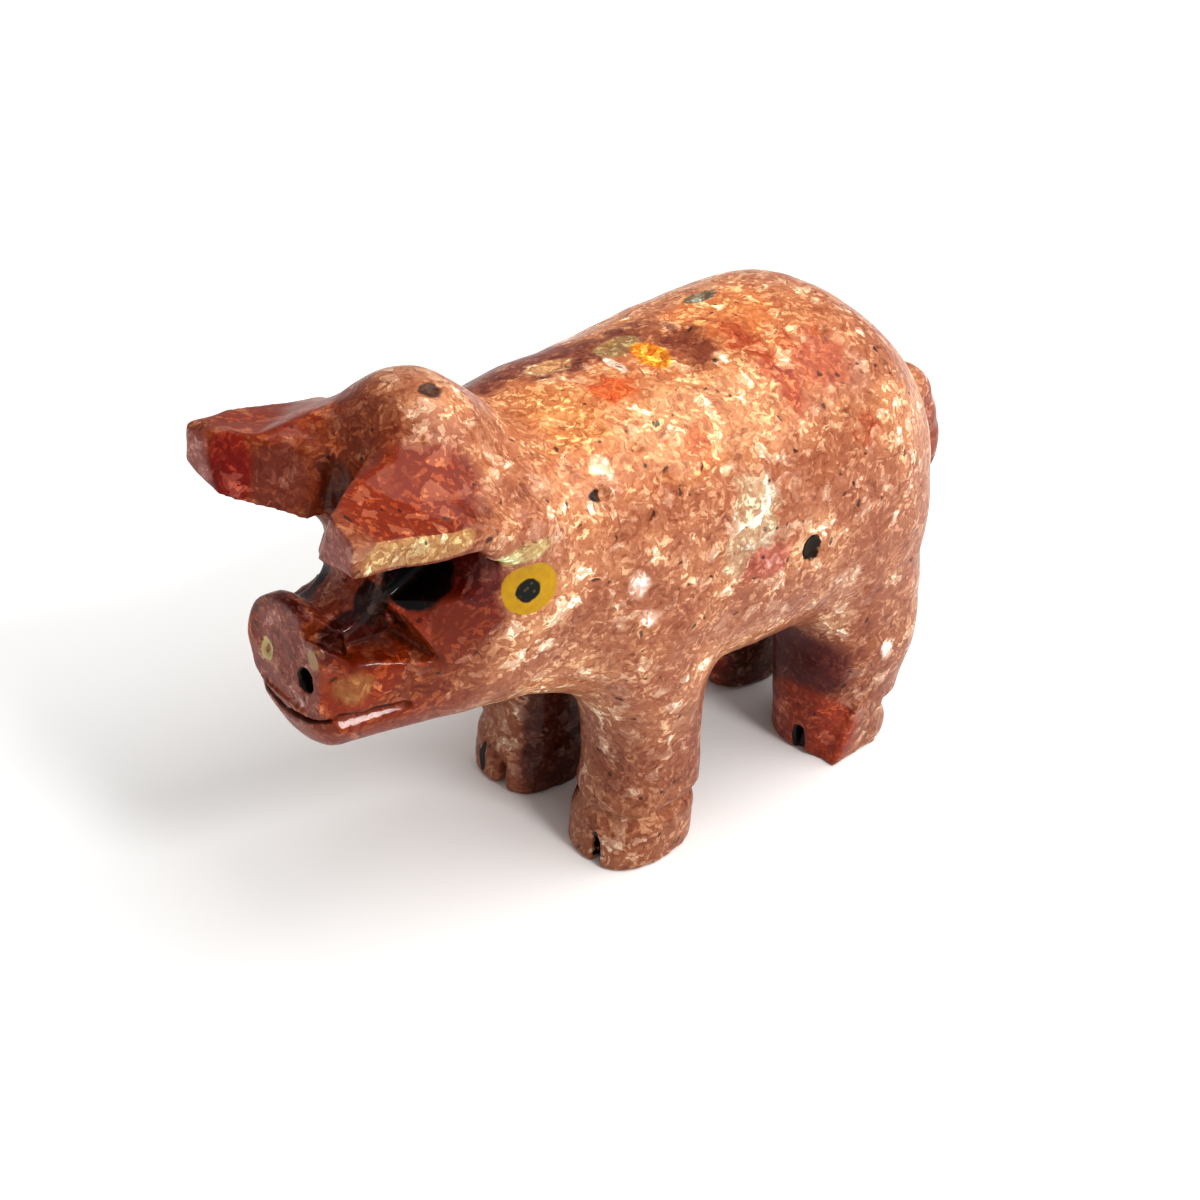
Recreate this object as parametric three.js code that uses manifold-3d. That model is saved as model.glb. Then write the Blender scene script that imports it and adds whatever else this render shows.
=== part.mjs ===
// A small standing pig, carved from one piece of pink and red soapstone.
// Millimetres, +Z up. The pig looks along -Y, and its left side is +X.
// While it is carved, y = 0 is the front of the fore feet and z = 0 is the ground. At the end
// the stone is moved along Y so that its origin is the middle of its box, on the ground.
//
// The blank is a smooth solid: round forms joined by fillets, found on a grid. Then the chisel
// cuts are taken out of it: the steps beside the bridge of the snout, the slots under the ears,
// the mouth, the nostrils, the ankles, the toes and the soles.

import * as THREE from 'three';
import { mergeVertices } from 'three/addons/utils/BufferGeometryUtils.js';
import Module from 'manifold-3d';

// Body: middle height, half width and half height at stations along Y.
const BODY_STATIONS = [
  { y: 0, mid: 16.5, width: 7.4, height: 7.6 },
  { y: 6, mid: 16.3, width: 7.9, height: 8.1 },
  { y: 12, mid: 16.2, width: 8.2, height: 8.3 },
  { y: 16, mid: 16.0, width: 8.1, height: 8.4 },
  { y: 19, mid: 15.3, width: 7.9, height: 8.1 },
];
const BODY_FRONT = { start: 2, length: 6.0 };
const BODY_BACK = { start: 13.2, length: 7.9 };
const BODY_SQUARENESS = 2.3;

// Head: the same kind of stations, from inside the chest to the end of the snout.
const HEAD_STATIONS = [
  { y: -14.6, mid: 15.3, width: 3.3, height: 3.4 },
  { y: -12.5, mid: 15.2, width: 3.5, height: 3.2 },
  { y: -10, mid: 15.8, width: 4.3, height: 4.1 },
  { y: -7, mid: 16.9, width: 5.4, height: 5.6 },
  { y: -4, mid: 17.4, width: 6.0, height: 6.5 },
  { y: -1, mid: 17.2, width: 6.0, height: 6.4 },
];
const HEAD_FRONT = { start: -13.4, length: 1.4 };
const HEAD_BACK = { start: 0, length: 3 };
const HEAD_SQUARENESS = 2.5;

// Flat round nose pad at the end of the snout.
const NOSE = { y: -14.0, z: 16.5, halfWidth: 3.2, halfHeight: 3.0, halfLength: 0.8, edge: 0.5 };

// Poll: the hump on top of the head, behind the ears.
const POLL = { x: 0, y: -7.4, z: 22.2, width: 4.8, length: 4.0, height: 5.9 };

// Temple: the swelling between the eye and the root of the ear, on each side.
const TEMPLE = { x: 3.2, y: -4.0, z: 19.4, width: 3.0, length: 4.0, height: 3.8 };

// Ear: a slab from the head to its tip. Its middle and its two half axes across the slab, one
// from the inner to the outer edge and one from the underside to the top, at the tip and root.
// The slab is thick along its inner edge and thin along its outer edge.
const EAR_TIP = { y: -15.1, middle: [5.15, 25.1], across: [1.5, 0.05], upright: [0.4, 1.5] };
const EAR_ROOT = { y: -6.0, middle: [2.6, 22.9], across: [3.9, -0.65], upright: [0.5, 2.3] };
const EAR_END = { round: 1.0, lean: 0.18, back: 3 };
const EAR_THINNING = 0.45;
const EAR_SQUARENESS = 4;

// Legs: the foot's and the knee's middle and half sizes. The mirror image makes the other side.
const FORE_LEG = {
  foot: { x: 3.7, y: 1.8, halfX: 2.65, halfY: 2.9 },
  knee: { x: 3.9, y: 2.4, halfX: 2.7, halfY: 2.75 },
  kneeHeight: 6,
  shoulder: { x: 4.1, y: 1.9, halfX: 3.3, halfY: 3.1 },
  shoulderHeight: 13,
};
const HIND_LEG = {
  foot: { x: 3.7, y: 15.2, halfX: 2.65, halfY: 2.7 },
  knee: { x: 4.0, y: 15.8, halfX: 3.1, halfY: 3.6 },
  kneeHeight: 7,
  shoulder: { x: 4.1, y: 14.8, halfX: 3.5, halfY: 4.0 },
  shoulderHeight: 13,
};
const LEG_SQUARENESS = 2.6;
const LEG_INTO_BODY = 2;
const LEG_INTO_GROUND = 1.2;

// Tail: a short fat lobe that curls down the rump, on a ridge that joins it to the rump.
const TAIL_PATH = [
  [0, 20.4, 17.2],
  [0, 22.4, 15.9],
  [0.2, 23.5, 13.9],
  [0.3, 23.1, 11.9],
];
const TAIL_RADIUS = 1.3;
const TAIL_PARTS = 12;
const TAIL_RIDGE = { x: 0, y: 19.2, z: 14.9, width: 2.5, length: 3.4, height: 4.6 };

// Fillets between the forms.
const FILLET = { neck: 2.4, poll: 1.6, ear: 0.9, leg: 0.9, tail: 0.9, ridge: 1.6, nose: 0.8 };

// Grid that the smooth blank is found on: finer steps over the head than over the body.
const GRID = { x: [-9.6, 9.6], y: [-17, 27], z: [-2.2, 29.4] };
const STEP = { across: 0.92, head: 0.8, body: 1.2, up: 0.96 };
const HEAD_END_Y = -3;

// How a grid point is moved onto the surface of the form.
const SETTLE = { passes: 3, reach: 0.02, leastSlope: 0.05, longest: 0.3 };

// Mouth: a slit around the front of the snout that rises towards the cheeks.
// The slit goes in as far as a core that is left standing.
const MOUTH = { frontY: -14.6, frontZ: 14.2, cornerY: -10.8, gap: 0.5, tilt: 8, reach: 6, parts: 14 };
const MOUTH_CORE = { width: 2.8, frontY: -13.9 };

// Nostrils: two shallow drilled holes in the nose pad.
const NOSTRIL = { x: 1.45, z: 16.3, radius: 0.6, endRadius: 0.45, depth: 0.7, length: 3, sides: 12 };

// Side steps: the bridge of the snout stands between two notches with a slanted back wall.
// The floor drops by a share of the way out from the bridge.
const STEP_CUT = { bridge: 1.9, outerX: 7, drop: 0.18, frontY: -13.1, backY: -9.9, backLean: 1.6 };
const STEP_FLOOR = { frontZ: 17.5, backZ: 17.1, topZ: 21.2 };

// Undercut: a slot between the ear and the cheek, in front of the eye. Its side outline runs
// along the cheek, up its end and back under the ear.
const UNDERCUT = {
  innerX: 2.0,
  outerX: 8,
  outline: [[-12.0, 18.6], [-8.0, 20.0], [-7.2, 21.4], [-7.2, 21.9], [-12.0, 22.3]],
};

// Ankle: a notch around the foot, with a flat top and a sloping underside.
const ANKLE = { depth: 0.4, drop: 0.6, reach: 1.2, rise: 0.1, sides: 24 };
const FORE_ANKLE = { x: 3.75, y: 1.95, z: 3.4, halfX: 2.6, halfY: 2.75, tilt: 3 };
const HIND_ANKLE = { x: 3.4, y: 14.5, z: 2.9, halfX: 3.3, halfY: 3.2, tilt: -6 };

// Toes: one short slit in the front of each foot.
const TOE = { width: 0.5, height: 1.7, depth: 1.1, length: 4, offset: 0.7 };

// Every sole is cut flat at z = 0 by a block that lies under the whole pig.
const GROUND_BLOCK = { width: 60, length: 80, depth: 6 };

// Middle of the finished stone's length, where its origin goes.
const MIDDLE_Y = 4.76;

const STONE = { color: 0xb5695a, roughness: 0.4, metalness: 0 };

const wasm = await Module();
wasm.setup();

// Cubic curve through the stations, for one of their sizes.
function sizeAt(stations, name, y) {
  const last = stations.length - 1;
  if (y <= stations[0].y) return stations[0][name];
  if (y >= stations[last].y) return stations[last][name];
  let i = 0;
  while (stations[i + 1].y < y) i += 1;
  const slope = (a, b) => (stations[b][name] - stations[a][name]) / (stations[b].y - stations[a].y);
  const run = stations[i + 1].y - stations[i].y;
  const t = (y - stations[i].y) / run;
  const slopeIn = i > 0 ? slope(i - 1, i + 1) : slope(i, i + 1);
  const slopeOut = i + 2 <= last ? slope(i, i + 2) : slope(i, i + 1);
  const rise = t * t * (3 - 2 * t);
  const bend = (t ** 3 - 2 * t * t + t) * slopeIn + (t ** 3 - t * t) * slopeOut;
  return THREE.MathUtils.lerp(stations[i][name], stations[i + 1][name], rise) + bend * run;
}

// Two depths joined with a fillet. A depth is below zero inside the stone.
function join(a, b, fillet) {
  const near = Math.max(fillet - Math.abs(a - b), 0) / fillet;
  return Math.min(a, b) - near * near * fillet / 4;
}

// Depth inside a long rounded form whose cross-sections follow its stations.
function barrel(x, y, z, stations, front, back, squareness) {
  const width = sizeAt(stations, 'width', y);
  const height = sizeAt(stations, 'height', y);
  const mid = sizeAt(stations, 'mid', y);
  const past = Math.max((front.start - y) / front.length, (y - back.start) / back.length, 0);
  const sum = Math.abs(x / width) ** squareness
    + Math.abs((z - mid) / height) ** squareness
    + past ** squareness;
  return (sum ** (1 / squareness) - 1) * Math.min(width, height);
}

// Depth inside a form that is round about its middle, with three half sizes.
function ball(x, y, z, form) {
  const near = Math.hypot(
    (x - form.x) / form.width,
    (y - form.y) / form.length,
    (z - form.z) / form.height,
  );
  return (near - 1) * Math.min(form.width, form.length, form.height);
}

// Depth inside the nose pad, a disc across the snout.
function nosePad(x, y, z) {
  const near = Math.hypot(x / NOSE.halfWidth, (z - NOSE.z) / NOSE.halfHeight);
  const radial = (near - 1) * NOSE.halfHeight;
  const along = Math.abs(y - NOSE.y) - NOSE.halfLength;
  const outside = Math.hypot(Math.max(radial + NOSE.edge, 0), Math.max(along + NOSE.edge, 0));
  return Math.min(Math.max(radial, along) + NOSE.edge, 0) + outside - NOSE.edge;
}

// Depth inside an ear, a slab whose cross-section is a rounded parallelogram.
function ear(x, y, z) {
  const alongY = y + EAR_END.lean * (EAR_TIP.middle[1] - z);
  const share = (alongY - EAR_TIP.y) / (EAR_ROOT.y - EAR_TIP.y);
  const at = (name, i) => THREE.MathUtils.lerp(EAR_TIP[name][i], EAR_ROOT[name][i], share);
  const right = Math.abs(x) - at('middle', 0);
  const up = z - at('middle', 1);
  const area = at('across', 0) * at('upright', 1) - at('across', 1) * at('upright', 0);
  const across = (right * at('upright', 1) - up * at('upright', 0)) / area;
  const thickness = 1 - EAR_THINNING * THREE.MathUtils.clamp(across, -1, 1);
  const upright = (up * at('across', 0) - right * at('across', 1)) / area / thickness;
  const past = Math.max(
    (EAR_TIP.y + EAR_END.round - alongY) / EAR_END.round,
    (alongY - EAR_ROOT.y) / EAR_END.back,
    0,
  );
  const sum = Math.abs(across) ** EAR_SQUARENESS
    + Math.abs(upright) ** EAR_SQUARENESS
    + past ** EAR_SQUARENESS;
  return (sum ** (1 / EAR_SQUARENESS) - 1) * at('across', 0);
}

// Depth inside a leg: a column whose middle and half sizes change with its height.
function leg(x, y, z, sizes) {
  const low = THREE.MathUtils.smoothstep(z, 0, sizes.kneeHeight);
  const high = THREE.MathUtils.smoothstep(z, sizes.kneeHeight, sizes.shoulderHeight);
  const at = (name) => {
    const lower = THREE.MathUtils.lerp(sizes.foot[name], sizes.knee[name], low);
    return THREE.MathUtils.lerp(lower, sizes.shoulder[name], high);
  };
  const halfX = at('halfX');
  const halfY = at('halfY');
  const sum = Math.abs((Math.abs(x) - at('x')) / halfX) ** LEG_SQUARENESS
    + Math.abs((y - at('y')) / halfY) ** LEG_SQUARENESS;
  const side = (sum ** (1 / LEG_SQUARENESS) - 1) * Math.min(halfX, halfY);
  return Math.max(side, z - sizes.shoulderHeight - LEG_INTO_BODY, -LEG_INTO_GROUND - z);
}

const TAIL_CURVE = new THREE.CatmullRomCurve3(TAIL_PATH.map((p) => new THREE.Vector3(...p)));
const TAIL_POINTS = TAIL_CURVE.getPoints(TAIL_PARTS);

// Depth inside the tail, a round bar along its path.
function tail(x, y, z) {
  const point = new THREE.Vector3(x, y, z);
  const closest = new THREE.Vector3();
  let near = Infinity;
  for (let i = 0; i + 1 < TAIL_POINTS.length; i += 1) {
    new THREE.Line3(TAIL_POINTS[i], TAIL_POINTS[i + 1]).closestPointToPoint(point, true, closest);
    near = Math.min(near, closest.distanceTo(point));
  }
  return near - TAIL_RADIUS;
}

// Depth inside the whole smooth blank.
function blank(x, y, z) {
  let stone = barrel(x, y, z, BODY_STATIONS, BODY_FRONT, BODY_BACK, BODY_SQUARENESS);
  stone = join(stone, leg(x, y, z, FORE_LEG), FILLET.leg);
  stone = join(stone, leg(x, y, z, HIND_LEG), FILLET.leg);
  let head = barrel(x, y, z, HEAD_STATIONS, HEAD_FRONT, HEAD_BACK, HEAD_SQUARENESS);
  head = join(head, nosePad(x, y, z), FILLET.nose);
  head = join(head, ball(x, y, z, POLL), FILLET.poll);
  head = join(head, ball(Math.abs(x), y, z, TEMPLE), FILLET.poll);
  head = join(head, ear(x, y, z), FILLET.ear);
  stone = join(stone, head, FILLET.neck);
  stone = join(stone, ball(x, y, z, TAIL_RIDGE), FILLET.ridge);
  return join(stone, tail(x, y, z), FILLET.tail);
}

// Grid lines from low to high, with steps as near as possible to the one asked for.
function gridLines(low, high, step) {
  const count = Math.round((high - low) / step);
  return Array.from({ length: count + 1 }, (_, i) => THREE.MathUtils.lerp(low, high, i / count));
}

// Moves a point onto the surface of the form, along the way in which the depth changes most.
function settle(point, depth) {
  const { reach } = SETTLE;
  const away = new THREE.Vector3();
  for (let pass = 0; pass < SETTLE.passes; pass += 1) {
    const { x, y, z } = point;
    away.set(
      depth(x + reach, y, z) - depth(x - reach, y, z),
      depth(x, y + reach, z) - depth(x, y - reach, z),
      depth(x, y, z + reach) - depth(x, y, z - reach),
    ).divideScalar(2 * reach);
    const steep = Math.max(away.lengthSq(), SETTLE.leastSlope);
    const move = THREE.MathUtils.clamp(-depth(x, y, z) / steep, -SETTLE.longest, SETTLE.longest);
    point.addScaledVector(away, move);
  }
}

// Skin of a form: one point in each grid cell that the surface passes through, and a face
// across each grid edge that the surface crosses.
function skin(depth, xs, ys, zs) {
  const size = [xs.length, ys.length, zs.length];
  const index = (i, j, k) => (k * size[1] + j) * size[0] + i;
  const values = new Float64Array(size[0] * size[1] * size[2]);
  for (let k = 0; k < size[2]; k += 1) {
    for (let j = 0; j < size[1]; j += 1) {
      for (let i = 0; i < size[0]; i += 1) values[index(i, j, k)] = depth(xs[i], ys[j], zs[k]);
    }
  }
  const corners = Array.from({ length: 8 }, (_, n) => [n & 1, (n >> 1) & 1, (n >> 2) & 1]);
  const edges = [];
  corners.forEach((_, a) => {
    for (const bit of [1, 2, 4]) if (!(a & bit)) edges.push([a, a | bit]);
  });
  const place = (i, j, k) => new THREE.Vector3(xs[i], ys[j], zs[k]);
  const pointOf = new Map();
  const positions = [];
  for (let k = 0; k + 1 < size[2]; k += 1) {
    for (let j = 0; j + 1 < size[1]; j += 1) {
      for (let i = 0; i + 1 < size[0]; i += 1) {
        const inCell = corners.map(([a, b, c]) => values[index(i + a, j + b, k + c)]);
        if (inCell.every((v) => v < 0) || inCell.every((v) => v >= 0)) continue;
        const middle = new THREE.Vector3();
        let crossings = 0;
        for (const [a, b] of edges) {
          if ((inCell[a] < 0) === (inCell[b] < 0)) continue;
          const share = inCell[a] / (inCell[a] - inCell[b]);
          const from = place(i + corners[a][0], j + corners[a][1], k + corners[a][2]);
          const to = place(i + corners[b][0], j + corners[b][1], k + corners[b][2]);
          middle.add(from.lerp(to, share));
          crossings += 1;
        }
        middle.divideScalar(crossings);
        settle(middle, depth);
        pointOf.set(index(i, j, k), positions.length / 3);
        positions.push(middle.x, middle.y, middle.z);
      }
    }
  }
  const faces = [];
  const axes = [[1, 0, 0], [0, 1, 0], [0, 0, 1]];
  for (let k = 1; k + 1 < size[2]; k += 1) {
    for (let j = 1; j + 1 < size[1]; j += 1) {
      for (let i = 1; i + 1 < size[0]; i += 1) {
        for (let axis = 0; axis < 3; axis += 1) {
          const step = axes[axis];
          const here = values[index(i, j, k)] < 0;
          const there = values[index(i + step[0], j + step[1], k + step[2])] < 0;
          if (here === there) continue;
          const u = axes[(axis + 1) % 3];
          const v = axes[(axis + 2) % 3];
          const cell = (a, b) => pointOf.get(
            index(i - a * u[0] - b * v[0], j - a * u[1] - b * v[1], k - a * u[2] - b * v[2]),
          );
          const ring = [cell(1, 1), cell(0, 1), cell(0, 0), cell(1, 0)];
          if (!here) ring.reverse();
          faces.push(ring[0], ring[1], ring[2], ring[0], ring[2], ring[3]);
        }
      }
    }
  }
  const geometry = new THREE.BufferGeometry();
  geometry.setAttribute('position', new THREE.Float32BufferAttribute(positions, 3));
  geometry.setIndex(faces);
  return geometry;
}

// A closed geometry as a solid that can be joined and cut.
function toSolid(geometry) {
  const bare = geometry.clone();
  bare.deleteAttribute('normal');
  bare.deleteAttribute('uv');
  const merged = mergeVertices(bare, 1e-4);
  return new wasm.Manifold(new wasm.Mesh({
    numProp: 3,
    vertProperties: new Float32Array(merged.attributes.position.array),
    triVerts: new Uint32Array(merged.index.array),
  }));
}

function toGeometry(solid) {
  const mesh = solid.getMesh();
  const geometry = new THREE.BufferGeometry();
  geometry.setAttribute('position', new THREE.BufferAttribute(new Float32Array(mesh.vertProperties), 3));
  geometry.setIndex(new THREE.BufferAttribute(new Uint32Array(mesh.triVerts), 1));
  return geometry;
}

function smoothBlank() {
  const ys = [
    ...gridLines(GRID.y[0], HEAD_END_Y, STEP.head),
    ...gridLines(HEAD_END_Y, GRID.y[1], STEP.body).slice(1),
  ];
  const xs = gridLines(...GRID.x, STEP.across);
  const zs = gridLines(...GRID.z, STEP.up);
  return toSolid(skin(blank, xs, ys, zs));
}

// Everything below the ground is taken off, which leaves four flat soles.
function cutSoles(stone) {
  const block = new THREE.BoxGeometry(GROUND_BLOCK.width, GROUND_BLOCK.length, GROUND_BLOCK.depth);
  block.translate(0, 0, -GROUND_BLOCK.depth / 2);
  return stone.subtract(toSolid(block));
}

// A cutter for the left side and its mirror image for the right side.
function bothSides(geometry) {
  const left = toSolid(geometry);
  return left.add(left.mirror([1, 0, 0]));
}

function mouthCutter() {
  const { reach, cornerY, frontY } = MOUTH;
  const shape = new THREE.Shape();
  shape.moveTo(-reach, cornerY);
  shape.lineTo(-reach, frontY - reach);
  shape.lineTo(reach, frontY - reach);
  shape.lineTo(reach, cornerY);
  shape.lineTo(MOUTH_CORE.width, cornerY);
  shape.absellipse(0, cornerY, MOUTH_CORE.width, cornerY - MOUTH_CORE.frontY, 0, Math.PI, true);
  const geometry = new THREE.ExtrudeGeometry(shape, {
    depth: MOUTH.gap, bevelEnabled: false, curveSegments: MOUTH.parts,
  });
  geometry.translate(0, -frontY, -MOUTH.gap / 2);
  geometry.rotateX(THREE.MathUtils.degToRad(MOUTH.tilt));
  geometry.translate(0, frontY, MOUTH.frontZ);
  return toSolid(geometry);
}

function nostrilCutter() {
  const { radius, endRadius, length, sides } = NOSTRIL;
  const holeEnd = NOSE.y - NOSE.halfLength + NOSTRIL.depth;
  const geometry = new THREE.CylinderGeometry(radius, endRadius, length, sides);
  geometry.rotateX(Math.PI);
  geometry.translate(NOSTRIL.x, holeEnd - length / 2, NOSTRIL.z);
  return bothSides(geometry);
}

// A solid over a side outline in Y and Z, from one X to another.
function slabAcross(outline, fromX, toX) {
  const shape = new THREE.Shape(outline.map(([y, z]) => new THREE.Vector2(y, z)));
  const geometry = new THREE.ExtrudeGeometry(shape, { depth: toX - fromX, bevelEnabled: false });
  geometry.applyMatrix4(new THREE.Matrix4().set(0, 0, 1, fromX, 1, 0, 0, 0, 0, 1, 0, 0, 0, 0, 0, 1));
  return geometry;
}

function stepCutter() {
  const outline = [
    [STEP_CUT.frontY, STEP_FLOOR.frontZ],
    [STEP_CUT.backY, STEP_FLOOR.backZ],
    [STEP_CUT.backY - STEP_CUT.backLean, STEP_FLOOR.topZ],
    [STEP_CUT.frontY, STEP_FLOOR.topZ],
  ];
  const geometry = slabAcross(outline, STEP_CUT.bridge, STEP_CUT.outerX);
  const place = geometry.attributes.position;
  for (let i = 0; i < place.count; i += 1) {
    const out = place.getX(i) - STEP_CUT.bridge;
    place.setZ(i, place.getZ(i) - out * STEP_CUT.drop);
  }
  return bothSides(geometry);
}

function ankleCutter(ankle) {
  const inner = 1 - ANKLE.depth / ankle.halfX;
  const outer = 1 + ANKLE.reach / ankle.halfX;
  const slope = ANKLE.drop * (1 + ANKLE.reach / ANKLE.depth);
  const profile = [[inner, 0], [outer, -slope], [outer, ANKLE.rise], [inner, 0]];
  const points = profile.map(([radius, height]) => new THREE.Vector2(radius, height));
  const geometry = new THREE.LatheGeometry(points, ANKLE.sides);
  geometry.rotateX(Math.PI / 2);
  geometry.scale(ankle.halfX, ankle.halfY, 1);
  geometry.rotateX(THREE.MathUtils.degToRad(ankle.tilt));
  geometry.translate(ankle.x, ankle.y, ankle.z);
  return bothSides(geometry);
}

function toeCutter(foot) {
  const slits = [foot.x, -foot.x].map((middle) => {
    const slit = new THREE.BoxGeometry(TOE.width, TOE.length, TOE.height * 2);
    slit.translate(middle + TOE.offset, foot.y - foot.halfY + TOE.depth - TOE.length / 2, 0);
    return toSolid(slit);
  });
  return slits[0].add(slits[1]);
}

function carvePig() {
  let stone = smoothBlank();
  const cutters = [
    stepCutter(),
    bothSides(slabAcross(UNDERCUT.outline, UNDERCUT.innerX, UNDERCUT.outerX)),
    mouthCutter(),
    nostrilCutter(),
    ankleCutter(FORE_ANKLE),
    ankleCutter(HIND_ANKLE),
    toeCutter(FORE_LEG.foot),
    toeCutter(HIND_LEG.foot),
  ];
  for (const cutter of cutters) stone = stone.subtract(cutter);
  stone = cutSoles(stone);
  const geometry = toGeometry(stone);
  geometry.translate(0, -MIDDLE_Y, 0);
  geometry.computeVertexNormals();
  return geometry;
}

const pig = new THREE.Mesh(carvePig(), new THREE.MeshStandardMaterial(STONE));
pig.name = 'stone_pig';

const group = new THREE.Group();
group.add(pig);

export default group;
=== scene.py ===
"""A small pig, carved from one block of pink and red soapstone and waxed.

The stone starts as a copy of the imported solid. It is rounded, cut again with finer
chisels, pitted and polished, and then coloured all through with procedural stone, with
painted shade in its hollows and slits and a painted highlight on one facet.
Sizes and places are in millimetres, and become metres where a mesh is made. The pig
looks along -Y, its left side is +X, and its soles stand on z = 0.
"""

import logging
import math
from dataclasses import dataclass, field
from enum import Enum

import bpy
import numpy
from mathutils import Matrix, Vector


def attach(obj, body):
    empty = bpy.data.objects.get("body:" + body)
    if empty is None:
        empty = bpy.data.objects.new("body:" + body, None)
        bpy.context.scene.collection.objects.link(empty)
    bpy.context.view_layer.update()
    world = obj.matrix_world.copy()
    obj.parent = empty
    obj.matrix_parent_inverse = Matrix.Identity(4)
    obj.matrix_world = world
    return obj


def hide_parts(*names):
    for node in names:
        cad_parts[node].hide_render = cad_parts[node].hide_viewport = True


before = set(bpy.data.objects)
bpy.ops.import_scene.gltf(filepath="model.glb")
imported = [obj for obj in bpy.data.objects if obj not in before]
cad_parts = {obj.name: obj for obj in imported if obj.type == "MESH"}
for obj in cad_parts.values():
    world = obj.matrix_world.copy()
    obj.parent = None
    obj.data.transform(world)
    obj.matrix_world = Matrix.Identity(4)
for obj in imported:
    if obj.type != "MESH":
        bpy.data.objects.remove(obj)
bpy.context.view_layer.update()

MM = 0.001
# How much the wax deepens a colour of the dry stone, as a power of it.
WAX_DEPTH = 1.3
Point = tuple[float, float, float]
Colour = tuple[float, float, float]

log = logging.getLogger("stone_pig")


class Side(Enum):
    """The side of the pig that a cut or a spot of paint is on."""

    LEFT = 1
    RIGHT = -1
    BOTH = 0


# Work on meshes.


def metres(place: Point) -> Vector:
    """Returns a place or size in millimetres as a vector in metres."""
    return Vector(place) * MM


def deselect_all() -> None:
    """Leaves object mode with nothing selected, so that operators act on one piece."""
    if bpy.context.object and bpy.context.object.mode != "OBJECT":
        bpy.ops.object.mode_set(mode="OBJECT")
    bpy.ops.object.select_all(action="DESELECT")


def take_up(piece: bpy.types.Object) -> None:
    """Selects one piece alone and makes it the active one."""
    deselect_all()
    piece.select_set(True)
    bpy.context.view_layer.objects.active = piece


def finish_with(piece: bpy.types.Object, kind: str, **settings: object) -> None:
    """Gives a piece one modifier and applies it.

    Args:
        piece: The mesh object to change.
        kind: The modifier's type, such as "REMESH".
        settings: The modifier's own properties.
    """
    take_up(piece)
    modifier = piece.modifiers.new(kind.lower(), kind)
    for name, value in settings.items():
        setattr(modifier, name, value)
    bpy.ops.object.modifier_apply(modifier=modifier.name)
    if piece.modifiers:
        raise RuntimeError(f"{piece.name}: {kind} could not be applied")


def scrap(tool: bpy.types.Object) -> None:
    """Deletes a tool that has done its work."""
    take_up(tool)
    bpy.ops.object.delete()


@dataclass(frozen=True)
class Plane:
    """A flat side of a chisel: a point on it, and the way out of the tool."""

    point: Point
    outward: Point

    @classmethod
    def through(cls, a: Point, b: Point, c: Point, inside: Point) -> "Plane":
        """Lays a plane through three corners.

        Args:
            a: The first corner.
            b: The second corner.
            c: The third corner.
            inside: A place that the plane looks away from.

        Returns:
            The plane.
        """
        normal = (Vector(b) - Vector(a)).cross(Vector(c) - Vector(a)).normalized()
        if normal.dot(Vector(inside) - Vector(a)) > 0:
            normal = -normal
        return cls(a, tuple(normal))

    def turned(self) -> "Plane":
        """Returns the same plane looking the other way."""
        return Plane(self.point, tuple(-n for n in self.outward))

@dataclass(frozen=True)
class Chisel:
    """A flat-sided cut: a block between two corners, trimmed by planes."""

    name: str
    low: Point
    high: Point
    trims: tuple[Plane, ...] = ()
    side: Side = Side.BOTH

    def forge(self) -> bpy.types.Object:
        """Makes the tool.

        Returns:
            A closed mesh object, on both sides of the pig where the cut is.
        """
        deselect_all()
        low, high = metres(self.low), metres(self.high)
        bpy.ops.mesh.primitive_cube_add(size=1, location=(low + high) / 2)
        tool = bpy.context.object
        tool.name = self.name
        tool.scale = high - low
        bpy.ops.object.transform_apply(location=True, rotation=True, scale=True)
        bpy.ops.object.mode_set(mode="EDIT")
        for plane in self.trims:
            bpy.ops.mesh.select_all(action="SELECT")
            bpy.ops.mesh.bisect(
                plane_co=metres(plane.point),
                plane_no=plane.outward,
                use_fill=True,
                clear_outer=True,
            )
        deselect_all()
        return put_on_side(tool, self.side)


@dataclass(frozen=True)
class Burr:
    """A round cut: a ball or short rod of three half sizes, turned in degrees."""

    name: str
    middle: Point
    half: Point
    turn: Point = (0, 0, 0)
    side: Side = Side.BOTH

    def forge(self) -> bpy.types.Object:
        """Makes the tool, a ball that is stretched and then turned.

        Returns:
            A closed mesh object, on both sides of the pig where the cut is.
        """
        deselect_all()
        bpy.ops.mesh.primitive_ico_sphere_add(
            subdivisions=4,
            radius=1,
            location=metres(self.middle),
            rotation=[math.radians(a) for a in self.turn],
        )
        tool = bpy.context.object
        tool.name = self.name
        tool.scale = metres(self.half)
        bpy.ops.object.transform_apply(location=True, rotation=True, scale=True)
        return put_on_side(tool, self.side)


def put_on_side(tool: bpy.types.Object, side: Side) -> bpy.types.Object:
    """Copies a left-hand tool to the other side, or moves it there.

    Args:
        tool: A tool made on the pig's left side.
        side: Where the cut is wanted.

    Returns:
        The same tool, with its mirror image where both sides are wanted.
    """
    if side is Side.RIGHT:
        take_up(tool)
        tool.scale.x = -1
        bpy.ops.object.transform_apply(location=True, rotation=True, scale=True)
        bpy.ops.object.mode_set(mode="EDIT")
        bpy.ops.mesh.select_all(action="SELECT")
        bpy.ops.mesh.normals_make_consistent(inside=False)
        deselect_all()
    if side is Side.BOTH:
        finish_with(
            tool, "MIRROR", use_axis=(True, False, False), use_mirror_merge=False
        )
    return tool


def gather(tools: list[bpy.types.Object]) -> bpy.types.Object:
    """Joins tools that don't touch each other, so that one cut does for all."""
    take_up(tools[0])
    for tool in tools:
        tool.select_set(True)
    bpy.ops.object.join()
    return bpy.context.object


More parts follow.
